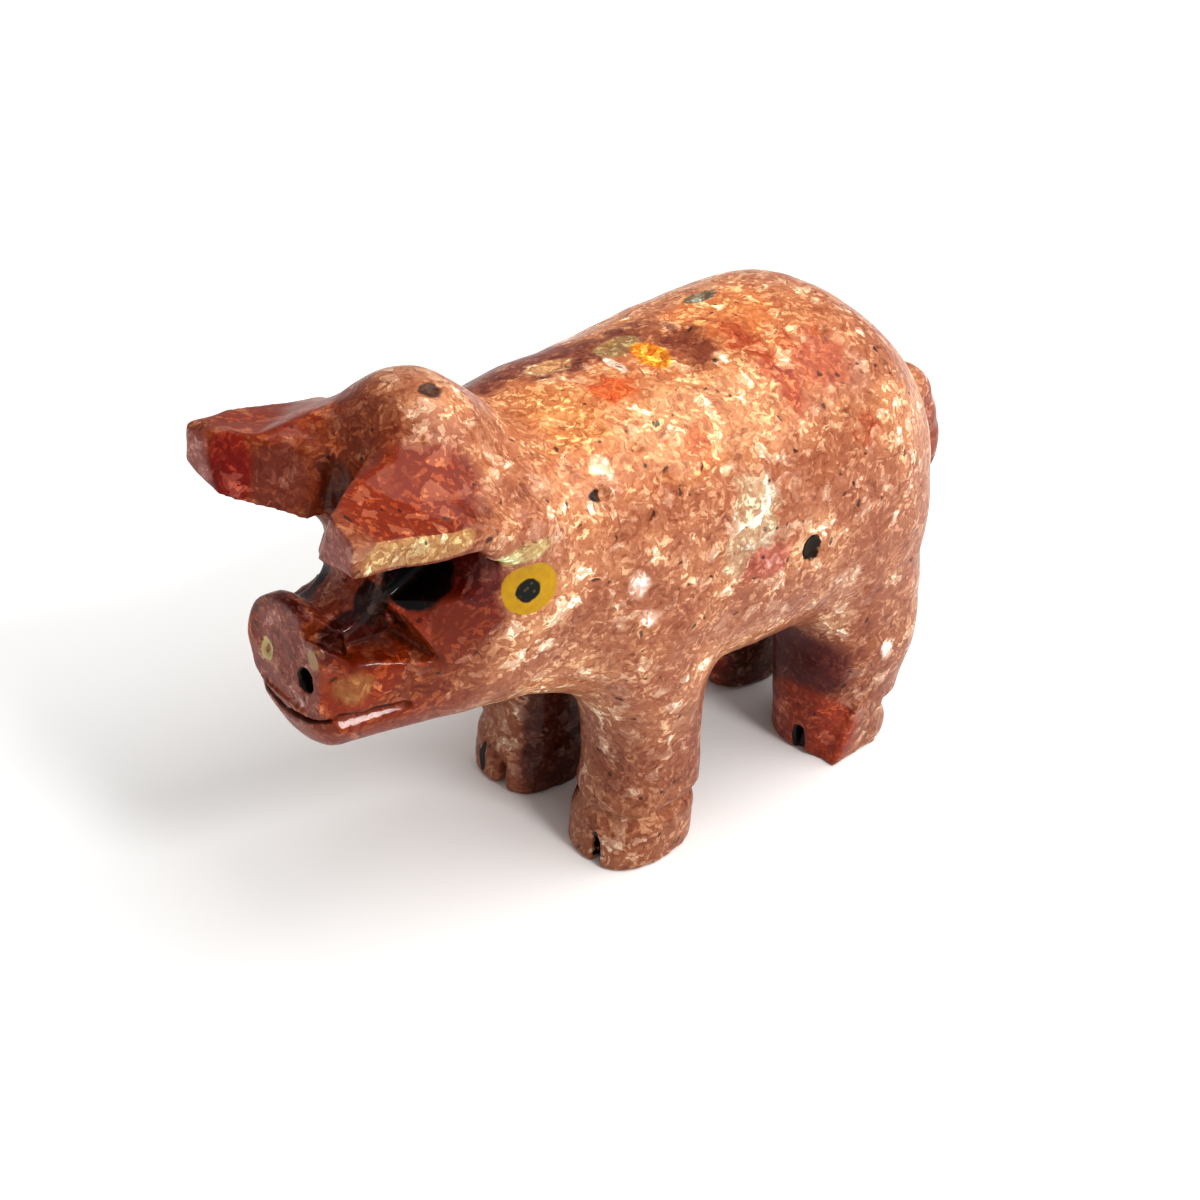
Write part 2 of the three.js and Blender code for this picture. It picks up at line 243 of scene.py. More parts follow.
def carve(stone: bpy.types.Object, tool: bpy.types.Object) -> None:
    """Takes a tool's shape out of the stone, and scraps the tool."""
    finish_with(
        stone, "BOOLEAN", operation="DIFFERENCE", solver="MANIFOLD", object=tool
    )
    scrap(tool)


def leave(stone: bpy.types.Object, form: bpy.types.Object) -> None:
    """Makes a form part of the stone, where the carver left it standing."""
    finish_with(stone, "BOOLEAN", operation="UNION", solver="MANIFOLD", object=form)
    scrap(form)


# Work on materials.


class Field:
    """A number, colour or direction that changes over the stone: a shader socket."""

    def __init__(self, bench: "Bench", socket: bpy.types.NodeSocket) -> None:
        """Wraps a socket, so that sums on it add the nodes that work them out."""
        self.bench = bench
        self.socket = socket

    def __add__(self, other: "Field | float") -> "Field":
        """Returns the sum."""
        return self.bench.sum("ADD", self, other)

    __radd__ = __add__

    def __mul__(self, other: "Field | float") -> "Field":
        """Returns the product."""
        return self.bench.sum("MULTIPLY", self, other)

    __rmul__ = __mul__

    def __sub__(self, other: "Field | float") -> "Field":
        """Returns this less the other."""
        return self.bench.sum("SUBTRACT", self, other)

    def __rsub__(self, other: "Field | float") -> "Field":
        """Returns the other less this."""
        return self.bench.sum("SUBTRACT", other, self)


class Bench:
    """A material under way: its node tree, and the kinds of node that stone needs."""

    def __init__(self, name: str) -> None:
        """Starts an empty material."""
        self.material = bpy.data.materials.new(name)
        self.material.use_nodes = True
        self.tree = self.material.node_tree
        self.tree.nodes.clear()

    def node(
        self,
        kind: str,
        settings: dict[str, object] | None = None,
        values: dict[str | int, object] | None = None,
    ) -> bpy.types.Node:
        """Adds a node.

        Args:
            kind: The node's type, without the words ShaderNode.
            settings: The node's own properties, which are set first.
            values: What goes into its sockets, by name or number: Fields or constants.

        Returns:
            The new node.
        """
        made = self.tree.nodes.new("ShaderNode" + kind)
        for name, value in (settings or {}).items():
            setattr(made, name, value)
        for name, value in (values or {}).items():
            if isinstance(value, Field):
                self.tree.links.new(value.socket, made.inputs[name])
            else:
                made.inputs[name].default_value = value
        return made

    def field(
        self,
        kind: str,
        settings: dict[str, object] | None = None,
        values: dict[str | int, object] | None = None,
        out: str | int = 0,
    ) -> Field:
        """Adds a node as node() does and returns one of its outputs."""
        return Field(self, self.node(kind, settings, values).outputs[out])

    def sum(self, operation: str, a: Field | float, b: Field | float = 0.0) -> Field:
        """Returns one operation on numbers."""
        return self.field("Math", {"operation": operation}, {0: a, 1: b})

    def grey(self, colour: Field) -> Field:
        """Returns how light a colour is."""
        return self.sum("ADD", colour)

    def vector(
        self, operation: str, a: object, b: object = (0, 0, 0), out: str | int = 0
    ) -> Field:
        """Returns one operation on directions or places."""
        return self.field("VectorMath", {"operation": operation}, {0: a, 1: b}, out)

    def step(self, value: Field, low: float, high: float) -> Field:
        """Returns a mask that rises smoothly from 0 at low to 1 at high."""
        settings = {"interpolation_type": "SMOOTHSTEP", "clamp": True}
        flip = low > high
        values = {0: value, 1: min(low, high), 2: max(low, high)}
        values.update({3: 1.0, 4: 0.0} if flip else {3: 0.0, 4: 1.0})
        return self.field("MapRange", settings, values)

    def blend(self, share: object, under: object, over: object) -> Field:
        """Returns a colour between two others."""
        values = {0: share, 6: opaque(under), 7: opaque(over)}
        return self.field("Mix", {"data_type": "RGBA"}, values, out=2)

    def finished(self, surface: dict[str | int, object]) -> bpy.types.Material:
        """Returns the material, with these values in the sockets of its one shader."""
        shader = self.node("BsdfPrincipled", None, surface)
        out = self.node("OutputMaterial")
        self.tree.links.new(shader.outputs[0], out.inputs[0])
        return self.material

    def noise(
        self, place: Field, size: float, detail: float = 3.0, rough: float = 0.55
    ) -> Field:
        """Returns soft noise whose patches are about one size wide, in millimetres."""
        values = {"Vector": place, "Scale": 1 / size, "Detail": detail}
        values["Roughness"] = rough
        return self.field("TexNoise", None, values)


def opaque(colour: object) -> object:
    """Returns a plain colour with the fourth number that its socket wants."""
    return (*colour, 1.0) if isinstance(colour, tuple) and len(colour) == 3 else colour


@dataclass(frozen=True)
class PaperFinish:
    """The pale floor: matt white paper."""

    colour: Colour = (0.92, 0.92, 0.91)
    roughness: float = 0.9

    def material(self) -> bpy.types.Material:
        """Returns the material."""
        bench = Bench("paper_floor")
        surface = {"Base Color": opaque(self.colour), "Roughness": self.roughness}
        return bench.finished(surface)


def tint(red: int, green: int, blue: int) -> Colour:
    """Returns a colour of dry stone, given out of 255, as the wax deepens it."""
    parts = (value / 255 for value in (red, green, blue))
    return tuple(((p + 0.055) / 1.055) ** (2.4 * WAX_DEPTH) for p in parts)


@dataclass(frozen=True)
class Patch:
    """A patch of another colour: an egg-shaped part, or what looks one way in it."""

    colour: Colour
    middle: Point
    half: Point
    share: float = 0.8
    soft: float = 0.35
    facing: Point | None = None

    def lay(self, bench: Bench, spot: "Spot", colour: Field) -> Field:
        """Lays the patch over a colour.

        Args:
            bench: The material under way.
            spot: Where the stone is, how it faces and how it takes the patch up.
            colour: The colour so far.

        Returns:
            The colour with the patch in it.
        """
        wide = tuple(1 / h for h in self.half)
        off = tuple(-m / h for m, h in zip(self.middle, self.half))
        scaled = {"operation": "MULTIPLY_ADD"}
        out = bench.field("VectorMath", scaled, {0: spot.place, 1: wide, 2: off})
        out = bench.field("VectorMath", {"operation": "LENGTH"}, {0: out}, "Value")
        inner, outer = 1 - self.soft / 2, 1 + self.soft / 2
        edges = {0: out, 1: inner, 2: outer, 3: self.share, 4: 0.0}
        mask = bench.field("MapRange", {"interpolation_type": "SMOOTHSTEP"}, edges)
        if self.facing:
            faces = bench.vector("DOT_PRODUCT", spot.normal, self.facing, "Value")
            mask = mask * bench.step(faces, 0.8, 0.93)
        return bench.blend(mask * spot.grain, colour, self.colour)


@dataclass(frozen=True)
class Spot:
    """Where a spot of the stone is, how it faces, and how it takes up a patch."""

    place: Field
    normal: Field
    grain: Field

    def folded(self, bench: Bench) -> "Spot":
        """Returns the same spot folded over to the left side."""
        return Spot(fold(bench, self.place), fold(bench, self.normal), self.grain)


def fold(bench: Bench, value: Field) -> Field:
    """Returns a place or direction with its left-and-right part made left."""
    left = bench.vector("MULTIPLY", bench.vector("ABSOLUTE", value), (1, 0, 0))
    return bench.vector("ADD", left, bench.vector("MULTIPLY", value, (0, 1, 1)))


def lay_all(
    bench: Bench, patches: tuple[Patch, ...], spot: Spot, colour: Field
) -> Field:
    """Returns a colour with every patch laid over it, one after the other."""
    for patch in patches:
        colour = patch.lay(bench, spot, colour)
    return colour


@dataclass(frozen=True)
class Shift:
    """A change to whatever colour is there: times one number a part, plus another."""

    times: Colour
    plus: Colour = (0, 0, 0)

    def apply(self, bench: Bench, colour: Field) -> Field:
        """Returns the colour after the change."""
        changed = bench.vector("MULTIPLY", colour, self.times)
        return bench.vector("ADD", changed, self.plus)


@dataclass(frozen=True)
class Mottle:
    """One size of mottling: how wide, how rich and strong, and how much stays even."""

    size: float
    detail: float
    share: float
    even: float
    rough: float = 0.7
    darkest: float = 0.3
    palest: float = 0.7


@dataclass(frozen=True)
class Flecks:
    """Pale flecks of one size: which grains they are, how clear, and their colour."""

    size: float
    low: float
    high: float
    least: float
    more: float
    shift: Shift


@dataclass(frozen=True)
class SoapstoneFinish:
    """Waxed pink and red soapstone, with flecks, ochre crystals, painted eyes, painted
    shade and one painted highlight.
    """

    salmon: Colour = tint(200, 148, 114)
    rose: Colour = tint(176, 120, 92)
    pore: Colour = tint(62, 32, 26)
    vein: Colour = tint(112, 48, 30)
    # Painted shade in the mouth slit.
    slit_shade_colour: Colour = tint(66, 26, 14)
    yolk: tuple[Colour, Colour] = (tint(182, 142, 0), tint(208, 174, 0))
    pupil: Colour = tint(14, 12, 8)
    bubble: Colour = tint(120, 100, 40)
    eye_middle: Point = (6.1, -10.61, 19.77)
    eye_reach: float = 1.31
    pupil_middle: Point = (6.12, -10.7, 19.68)
    pupil_reach: float = 0.58
    ragged: float = 0.22
    bubble_share: float = 0.6
    vein_share: float = 0.5
    pore_share: float = 0.8
    slit_shade_share: float = 0.7
    ground_size: float = 4.5
    vein_size: float = 2.4
    pore_gap: float = 0.8
    fleck_zone: float = 2.2
    bend: float = 1.3
    slight_bend: float = 0.55
    roughness: float = 0.3
    grain_roughness: float = 0.15
    specular: float = 0.12
    coat: float = 0.32
    coat_roughness: float = 0.09
    bump_size: float = 0.4
    bump_height: float = 0.05
    bump_strength: float = 0.3
    darker: Shift = Shift((0.62, 0.42, 0.34))
    paler: Shift = Shift((1.32, 1.65, 1.8), (0.03, 0.014, 0.006))
    mottles: tuple[Mottle, ...] = (
        Mottle(0.9, 5.0, 0.9, 0.01),
        Mottle(0.28, 3.0, 0.75, 0.02),
    )
    flecks: tuple[Flecks, ...] = (
        Flecks(
            0.22, 0.6, 0.76, 0.35, 0.55, Shift((1.6, 2.4, 2.9), (0.05, 0.024, 0.012))
        ),
        Flecks(0.6, 0.73, 0.79, 0.3, 0.6, Shift((1.4, 2.2, 2.9), (0.07, 0.05, 0.04))),
    )
    # Broad colours of the back, the left flank and the legs, each where it lies.
    zones: tuple[Patch, ...] = (
        Patch(tint(204, 140, 98), (1, 1, 24.4), (7, 9.5, 3.4), 0.8, 0.6),
        Patch(tint(210, 150, 102), (2.4, -5.2, 24.2), (3, 1.7, 1.3), 0.9, 0.6),
        Patch(tint(208, 158, 118), (4.4, 0.4, 23.2), (2.4, 4.4, 2.2), 0.75, 0.6),
        Patch(tint(204, 108, 54), (1.5, -2.2, 24.2), (1, 1.2, 0.8), 0.85, 0.6),
        Patch(tint(206, 120, 74), (5.4, -0.6, 22.5), (1, 1, 0.9), 0.6, 0.6),
        Patch(tint(214, 144, 92), (-0.3, 5.6, 24.4), (2, 2.8, 0.9), 0.7, 0.5),
        Patch(tint(174, 84, 44), (1.9, 5, 24.4), (1.8, 0.75, 0.9), 0.85, 0.6),
        Patch(tint(174, 84, 44), (4.6, 5.3, 23.3), (2.2, 0.8, 1.5), 0.85, 0.6),
        Patch(tint(180, 92, 56), (4.2, 7.6, 23.5), (1.8, 1.4, 1.2), 0.7, 0.6),
        Patch(tint(166, 82, 50), (7, 8.4, 20.6), (0.8, 0.8, 1), 0.7, 0.6),
        Patch(tint(130, 52, 34), (-3.6, -4.6, 23.7), (1.8, 4, 1.2), 0.85, 0.5),
        Patch(tint(128, 56, 38), (0.7, 2.9, 24.4), (1.9, 1.2, 0.7), 0.8, 0.7),
        Patch(tint(124, 50, 32), (-1.8, -1, 24.3), (1.2, 3.8, 0.7), 0.8, 0.5),
        Patch(tint(128, 66, 50), (6.8, 0.4, 22.1), (0.6, 1, 0.7), 0.7, 0.6),
        Patch(tint(196, 166, 138), (7.6, 1.2, 19.3), (1.2, 1.3, 2), 0.85, 0.5),
        Patch(tint(192, 160, 132), (7.8, 0, 17.6), (1.2, 0.7, 1.3), 0.8, 0.5),
        Patch(tint(182, 112, 94), (7.9, 1.6, 16.6), (0.8, 1.6, 0.8), 0.85, 0.4),
        Patch(tint(228, 184, 150), (6.5, 7.6, 10.2), (0.9, 1, 1.9), 0.75, 0.6),
        Patch(tint(232, 194, 166), (7.6, 7.2, 12.6), (0.8, 0.8, 0.9), 0.6, 0.6),
        Patch(tint(168, 108, 80), (7.6, 11, 13), (2, 4.6, 5.5), 0.7, 0.6),
        Patch(tint(144, 84, 60), (0, 0, 0), (12, 30, 11), 0.65, 0.5),
    )
    # Alike on both sides: the head, its cut faces and the hind leg, with painted shade
    # under the ears, between the legs and on the hind legs' fronts, and a painted
    # highlight on the cheek facet.
    face: tuple[Patch, ...] = (
        Patch(tint(138, 64, 24), (0, -17.4, 20), (9, 7.2, 9.5), 0.95, 0.4),
        Patch(tint(142, 58, 6), (4.9, -15.2, 25.6), (2.6, 3.6, 1.7), 0.95, 0.3),
        Patch(
            tint(184, 144, 102), (6.6, -16.4, 24.6), (1.2, 3, 1.6), 1.2, 0.2,
            (0.93, -0.05, 0.36),
        ),
        Patch(
            tint(164, 98, 84), (5, -20, 25), (3.4, 1.6, 3), 1.1, 0.1,
            (0, -0.98, 0.2),
        ),
        Patch(tint(146, 68, 36), (0, -17, 13), (6, 6, 1.9), 0.8, 0.5),
        Patch(tint(160, 64, 8), (2.9, -18, 16.6), (1.2, 3, 1.6), 0.95, 0.4),
        Patch(tint(132, 46, 4), (4.9, -13.3, 18.7), (1.3, 1.9, 1.4), 1.0, 0.35),
        Patch(tint(156, 82, 58), (0, -17, 19.2), (2.2, 1.8, 1.1), 0.95, 0.3),
        # Painted shade from the ear: dark red-black over the step floor, and black in
        # the core of the step.
        Patch(tint(84, 14, 6), (2.5, -17, 17.9), (1.7, 2.2, 1.15), 1.1, 0.2),
        Patch(tint(58, 14, 8), (1.7, -15.9, 19), (0.7, 0.9, 1.1), 1.1, 0.2),
        # The cheek facet: its own paler tone, with a painted highlight where it faces
        # the light.
        Patch(
            tint(196, 96, 66), (3.4, -15, 18), (1.5, 0.6, 1.5), 1.2, 0.3,
            (0.75, -0.6, 0.3),
        ),
        Patch(tint(110, 20, 12), (0, -18.9, 19.3), (2.7, 0.4, 0.5), 0.9, 0.4),
        # Painted shade: dark red at the back of the hollow under the ear.
        Patch(tint(112, 20, 4), (4.9, -12.9, 20.8), (1.7, 1.3, 1.4), 1.3, 0.4),
        Patch(
            tint(152, 86, 70), (0, -19.6, 16.4), (2.6, 1, 3.2), 1.1, 0.15,
            (0, -1, 0.05),
        ),
        Patch(tint(200, 176, 128), (6.3, -11.1, 21.9), (0.8, 1.5, 0.6), 0.8, 0.5),
        # Painted shade between the legs and under the belly.
        Patch(tint(96, 40, 24), (0, 3, 4.6), (2.5, 16, 8), 0.95, 0.25),
        # Dark red on the fronts of the hind legs, deepened with painted shade.
        Patch(tint(104, 16, 2), (3.6, 8.3, 6.2), (3.2, 1.9, 2.8), 1.05, 0.35),
        Patch(tint(158, 66, 28), (4.6, 8.2, 2), (2.8, 2.1, 2.6), 0.95, 0.35),
    )
    # On one side only: the tail and the shade painted in its slot, the far ear and the
    # shade painted in its root hollow, the crystals and the white spots.
    details: tuple[Patch, ...] = (
        Patch(tint(156, 88, 68), (1, 18.6, 13.6), (2.2, 1.6, 3.8), 0.85, 0.35),
        # Painted shade in the slot beside the tail.
        Patch(tint(92, 30, 22), (1.8, 18.2, 11.2), (0.8, 1, 0.9), 0.8, 0.4),
        Patch(tint(140, 28, 4), (-3.3, -19.2, 24.8), (1.1, 0.9, 2.1), 0.95, 0.5),
        Patch(tint(136, 72, 54), (-2, -17.6, 24.2), (1.2, 1.3, 1.6), 0.9, 0.3),
        # Painted shade in the hollow at the root of the far ear.
        Patch(tint(96, 44, 28), (-0.8, -15.9, 24), (1.3, 0.7, 1.4), 0.85, 0.5),
        Patch(tint(196, 160, 104), (3.3, -18.1, 16.3), (0.7, 1, 0.7), 1.0, 0.6),
        Patch(tint(190, 140, 100), (-1.9, -3.1, 24.25), (0.75, 1.25, 0.7), 1.2, 0.3),
        Patch(tint(172, 138, 98), (-1.2, 0.2, 24.3), (0.8, 1.15, 0.6), 1.2, 0.3),
        Patch(tint(214, 142, 44), (0.45, 0.95, 24.35), (1.2, 0.75, 0.6), 1.4, 0.25),
        Patch(tint(140, 120, 98), (-2.2, 6.15, 24.3), (0.5, 0.9, 0.5), 1.2, 0.4),
        Patch(tint(232, 200, 180), (7.13, -5.3, 18.07), (0.6, 0.5, 0.6), 0.7, 0.9),
        Patch(tint(232, 200, 180), (7.3, -4.84, 16.2), (0.6, 0.5, 0.36), 0.7, 0.9),
        Patch(tint(240, 208, 180), (4.58, -5.49, 23.16), (0.5, 0.42, 0.5), 0.8, 0.9),
        Patch(tint(236, 204, 184), (7.08, 11, 6.67), (0.45, 0.36, 0.6), 0.8, 0.9),
        Patch(tint(240, 214, 194), (0, -0.8, 24.32), (0.8, 0.22, 0.4), 0.85, 0.4),
    )
    # Clear orange over the mottling, alike on both sides.
    glazes: tuple[Patch, ...] = (
        Patch(tint(150, 62, 4), (4.4, -15.4, 26.1), (2.3, 3.4, 1.5), 0.75, 0.5),
        Patch(tint(146, 62, 0), (2.9, -17.6, 16.7), (1.2, 2.6, 1.5), 0.7, 0.6),
        Patch(tint(138, 58, 6), (4.6, -14.2, 18.2), (1.3, 2.4, 1.5), 0.7, 0.6),
        Patch(tint(150, 70, 30), (3, -16, 14.2), (3, 4, 0.8), 0.6, 0.6),
    )
    # Painted shade over the flecks, alike on both sides: black in the hollow under each
    # ear and in the toe slits.
    painted_shade: tuple[Patch, ...] = (
        Patch(tint(18, 5, 3), (2.7, -14, 20), (1.4, 1.5, 1.35), 1.9, 0.4),
        Patch(tint(16, 6, 5), (4.4, -5.2, 1), (0.3, 0.9, 1.1), 1.9, 0.1),
        Patch(tint(16, 6, 5), (4.2, 8.2, 0.9), (0.3, 0.9, 0.9), 1.9, 0.1),
    )
    # Single grains and pits over everything else, and painted shade inside the near
    # nostril.
    grains_and_nostril_shade: tuple[Patch, ...] = (
        Patch(tint(212, 196, 150), (-1.5, -19.5, 16.3), (0.44, 0.6, 0.64), 1.3, 0.2),
        Patch(tint(176, 130, 100), (-1.55, -19.6, 16.25), (0.2, 0.6, 0.34), 1.3, 0.3),
        Patch(tint(190, 164, 124), (2, -19.2, 17.6), (0.4, 0.5, 0.5), 0.8, 0.4),
        # Painted shade inside the drilled near nostril.
        Patch(tint(40, 10, 6), (1.5, -19, 16.3), (0.62, 0.62, 0.68), 1.9, 0.12),
        Patch(tint(66, 50, 34), (8.05, 4.27, 16.19), (0.45, 0.5, 0.75), 1.3, 0.15),
        Patch(tint(60, 34, 26), (5.44, -6.36, 22.31), (0.35, 0.4, 0.3), 1.0, 0.4),
        Patch(tint(76, 42, 30), (1.2, -11.85, 27.9), (0.5, 0.5, 0.4), 0.9, 0.4),
    )

    def grains(
        self, bench: Bench, place: Field, size: float, out: str = "Color"
    ) -> Field:
        """Returns one value per angular grain of about one size, in millimetres."""
        values = {"Vector": place, "Scale": 1 / size}
        return bench.field("TexVoronoi", {"feature": "F1"}, values, out)

    def ground(self, bench: Bench, place: Field) -> Field:
        """Returns the stone's own colour, before its patches and mottling."""
        large = bench.noise(place, self.ground_size, 2.0)
        return bench.blend(bench.step(large, 0.36, 0.62), self.rose, self.salmon)

    def mottle(self, bench: Bench, bent: Field, colour: Field) -> Field:
        """Mottles a colour, darker and redder in places and paler in others."""
        dark = self.darker.apply(bench, colour)
        light = self.paler.apply(bench, colour)
        for one in self.mottles:
            cloud = bench.noise(bent, one.size, one.detail, one.rough)
            share = bench.step(cloud, 0.5 - one.even, one.darkest) * one.share
            colour = bench.blend(share, colour, dark)
            share = bench.step(cloud, 0.5 + one.even, one.palest) * one.share
            colour = bench.blend(share, colour, light)
        return colour

    def fleck(self, bench: Bench, place: Field, bent: Field, colour: Field) -> Field:
        """Adds the pale flecks, which are fainter in some parts of the stone."""
        clear = bench.step(bench.noise(place, self.fleck_zone, 2.0), 0.38, 0.62)
        for one in self.flecks:
            value = bench.grey(self.grains(bench, bent, one.size))
            mask = bench.step(value, one.low, one.high)
            share = mask * (one.least + one.more * clear)
            colour = bench.blend(share, colour, one.shift.apply(bench, colour))
        return colour

    def veins(self, bench: Bench, bent: Field, grain: Field) -> Field:
        """Returns the mask of the thin dark veins, which come and go."""
        middle = bench.noise(bent, self.vein_size, 3.0) - 0.5
        line = bench.step(bench.sum("ABSOLUTE", middle), 0.018, 0.004)
        return line * bench.step(grain, 1.0, 1.1)

    def pores(self, bench: Bench, place: Field) -> Field:
        """Returns the mask of the tiny dark pores."""
        gap = self.grains(bench, place, self.pore_gap, "Distance")
        value = bench.grey(self.grains(bench, place, self.pore_gap))
        return bench.step(gap, 0.2, 0.1) * bench.step(value, 0.5, 0.55)

    def eye(self, bench: Bench, place: Field, colour: Field) -> Field:
        """Paints both eyes: yellow discs with a dark pupil and its tiny bubbles."""
        exact = fold(bench, place)
        uneven = (bench.noise(place, 0.5, 2.0) - 0.5) * self.ragged
        disc = bench.vector("DISTANCE", exact, self.eye_middle, "Value") + uneven
        centre = bench.vector("DISTANCE", exact, self.pupil_middle, "Value") + uneven
        bubbles = self.grains(bench, place, 0.26, "Distance")
        dots = bench.step(bubbles, 0.36, 0.26) * bench.step(centre, 0.5, 0.4)
        yellow = bench.blend(bench.noise(place, 0.35, 2.0), *self.yolk)
        black = bench.blend(dots * self.bubble_share, self.pupil, self.bubble)
        mask = bench.step(disc, self.eye_reach + 0.04, self.eye_reach - 0.04)
        colour = bench.blend(mask, colour, yellow)
        mask = bench.step(centre, self.pupil_reach + 0.05, self.pupil_reach - 0.05)
        return bench.blend(mask, colour, black)

    def lips(self, bench: Bench, place: Field) -> Field:
        """Returns the mask of the painted shade in the mouth slit, a dark line between
        the lips.
        """
        # The line curves up across the front, then runs down a little along each side.
        parts = bench.node("SeparateXYZ", None, {0: place})
        x, y, z = (Field(bench, parts.outputs[i]) for i in range(3))
        front = 13.95 + 0.085 * (x * x) + 2.0 * bench.sum("MAXIMUM", y + 18.9, 0.0)
        side = 14.82 - 0.078 * bench.sum("MAXIMUM", y + 18.8, 0.0)
        off = bench.sum("ABSOLUTE", z - bench.sum("MINIMUM", front, side))
        return bench.step(off, 0.17, 0.07) * bench.step(y, -15.4, -16.2)

    def moved(self, bench: Bench, place: Field, shift: Field, reach: float) -> Field:
        """Returns a place moved about by noise, so that the edges of colours wander."""
        return bench.vector("ADD", place, bench.vector("MULTIPLY", shift, (reach,) * 3))

    def material(self) -> bpy.types.Material:
        """Returns the material."""
        bench = Bench("waxed_soapstone")
        coordinates = bench.node("TexCoord")
        local = Field(bench, coordinates.outputs["Object"])
        normal = Field(bench, coordinates.outputs["Normal"])
        scaled = {"operation": "SCALE"}
        place = bench.field("VectorMath", scaled, {0: local, "Scale": 1 / MM})
        cloud = {"Vector": place, "Scale": 1.0, "Detail": 5.0}
        shift = bench.field("TexNoise", None, cloud, "Color")
        shift = bench.vector("SUBTRACT", shift, (0.5, 0.5, 0.5))
        bent = self.moved(bench, place, shift, self.bend)
        near = self.moved(bench, place, shift, self.slight_bend)
        grain = 0.6 + 0.8 * bench.noise(bent, 0.6, 4.0, 0.7)
        wide = Spot(bench.vector("ADD", bent, shift), normal, grain)
        tight = Spot(near, normal, grain)
        pair = tight.folded(bench)
        colour = self.ground(bench, place)
        colour = lay_all(bench, self.zones, wide, colour)
        colour = lay_all(bench, self.face, pair, colour)
        colour = lay_all(bench, self.details, tight, colour)
        colour = self.mottle(bench, bent, colour)
        colour = lay_all(bench, self.glazes, pair, colour)
        colour = self.fleck(bench, place, bent, colour)
        # Painted shade: black in the hollows under the ears and in the toe slits.
        colour = lay_all(bench, self.painted_shade, pair, colour)
        # Grains and pits, and painted shade in the near nostril.
        colour = lay_all(bench, self.grains_and_nostril_shade, tight, colour)
        lines = (
            (self.veins(bench, bent, grain) * self.vein_share, self.vein),
            (self.pores(bench, bent) * self.pore_share, self.pore),
            # Painted shade in the mouth slit.
            (self.lips(bench, place) * self.slit_shade_share, self.slit_shade_colour),
        )
        for share, ink in lines:
            colour = bench.blend(share, colour, ink)
        colour = self.eye(bench, place, colour)
        relief = {
            "Strength": self.bump_strength,
            "Distance": self.bump_height * MM,
            "Height": bench.noise(place, self.bump_size, 2.0, 0.6),
        }
        surface = {
            "Base Color": colour,
            "Roughness": self.roughness + self.grain_roughness * grain,
            "Specular IOR Level": self.specular,
            "Coat Weight": self.coat,
            "Coat Roughness": self.coat_roughness,
            "Normal": bench.field("Bump", None, relief, "Normal"),
        }
        return bench.finished(surface)


# The pig itself.


@dataclass(frozen=True)
class Ear:
    """One ear, cut flat on five sides: its corners, given as on the pig's left."""

    side: Side
    tip_top_inner: Point
    tip_top_outer: Point
    tip_low_inner: Point
    tip_low_outer: Point
    root_top_inner: Point
    root_top_outer: Point
    root_low_outer: Point
    middle: Point = (4.3, -17.5, 24.6)
    low: Point = (0.6, -21, 20)
    high: Point = (7.6, -11.8, 28)
    slope: tuple[Point, Point, Point] = (
        (3, -16.6, 26.05),
        (6.2, -14.5, 24.6),
        (1, -14, 27.3),
    )

    def faces(self) -> dict[str, Plane]:
        """Returns the planes of the ear by name, each looking out of the stone."""
        corners = {
            "top": (self.tip_top_inner, self.root_top_outer, self.root_top_inner),
            "band": (self.tip_top_outer, self.tip_low_outer, self.root_top_outer),
            "under": (self.tip_low_inner, self.tip_low_outer, self.root_low_outer),
            "inner": (self.tip_top_inner, self.tip_low_inner, self.root_top_inner),
            "tip": (self.tip_top_inner, self.tip_low_outer, self.tip_low_inner),
        }
        return {
            name: Plane.through(*three, inside=self.middle)
            for name, three in corners.items()
        }

    def blank(self) -> bpy.types.Object:
        """Makes the ear itself, from its tip to inside the head."""
        trims = tuple(self.faces().values())
        back = Plane(self.root_low_outer, (0, 1, 0))
        return Chisel("ear", self.low, self.high, (*trims, back), self.side).forge()

    def shavers(self) -> list[Chisel]:
        """Returns the cuts that take off what stands outside the ear's planes."""
        boxes = (
            ("top", (2, -21, 24), (9, -13.6, 29)),
            ("band", (5.6, -21, 22.4), (9, -12, 27)),
            ("under", (1.4, -21, 20.4), (9, -16.9, 25.4)),
            ("under", (2.6, -17, 21.5), (9, -12.9, 25)),
            ("inner", (0, -22, 23.4), (5, -15.6, 28)),
            ("tip", (2, -23, 22), (8, -18.8, 28)),
        )
        faces = self.faces()
        slope = Plane.through(*self.slope, inside=self.middle).turned()
        return [
            Chisel(
                f"ear_{name}",
                low,
                high,
                (faces[name].turned(), *([slope] if name == "top" else [])),
                self.side,
            )
            for name, low, high in boxes
        ]


@dataclass(frozen=True)
class Rub:
    """A place that was rubbed smooth after it was cut: where, how far and how long."""

    middle: Point
    reach: float
    strokes: int

    def smooth(self, stone: bpy.types.Object) -> None:
        """Rubs the stone, most in the middle of the place and less towards its edge."""
        group = stone.vertex_groups.new(name="rub")
        middle = metres(self.middle)
        # Full strength in the inner half of the reach, and from there down to none.
        places = numpy.empty(3 * len(stone.data.vertices))
        stone.data.vertices.foreach_get("co", places)
        gaps = numpy.linalg.norm(places.reshape(-1, 3) - numpy.array(middle), axis=1)
        shares = numpy.minimum(2.0 - 2.0 * gaps / (self.reach * MM), 1.0)
        for index in numpy.nonzero(shares > 0)[0]:
            group.add([int(index)], float(shares[index]), "REPLACE")
        finish_with(
            stone,
            "SMOOTH",
            factor=0.5,
            iterations=self.strokes,
            vertex_group=group.name,
        )
        stone.vertex_groups.clear()


